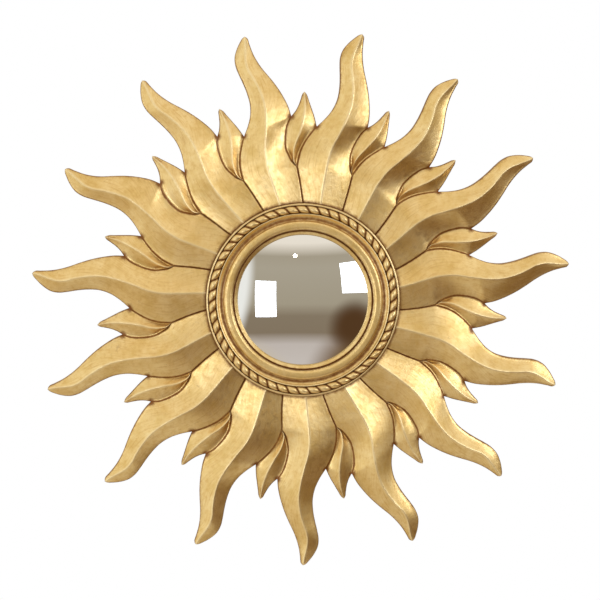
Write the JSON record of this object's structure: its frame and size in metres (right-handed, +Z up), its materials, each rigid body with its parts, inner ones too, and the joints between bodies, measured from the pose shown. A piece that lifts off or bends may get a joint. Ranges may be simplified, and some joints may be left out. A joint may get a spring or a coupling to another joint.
{
  "type": "wall mirror",
  "caption": "Gilt sunburst wall mirror: long wavy rays with short rays between, a rope-twist ring moulding and a small round convex glass; hangs flat on a wall.",
  "frame": {"origin": "centre of the flat back, on the wall plane", "axes": "+Y points into the wall, the mirror faces -Y, +Z is up, +X is to the right seen from the front"},
  "size_m": [0.6953, 0.0354, 0.6906],
  "materials": {
    "gilded_wood": "metal leaf gilding, satin, brown patina in the hollows",
    "silvered_glass": "polished convex mirror glass",
    "board_timber": "plain brown board",
    "plated_steel": "zinc plated"
  },
  "bodies": {
    "root": {"sunburst_frame": "gilded_wood", "rope_ring": "gilded_wood", "mirror_glass": "silvered_glass", "back_board": "board_timber", "hanger_plate": "plated_steel", "hanger_screw_left": "plated_steel", "hanger_screw_right": "plated_steel"}
  },
  "joints": []
}
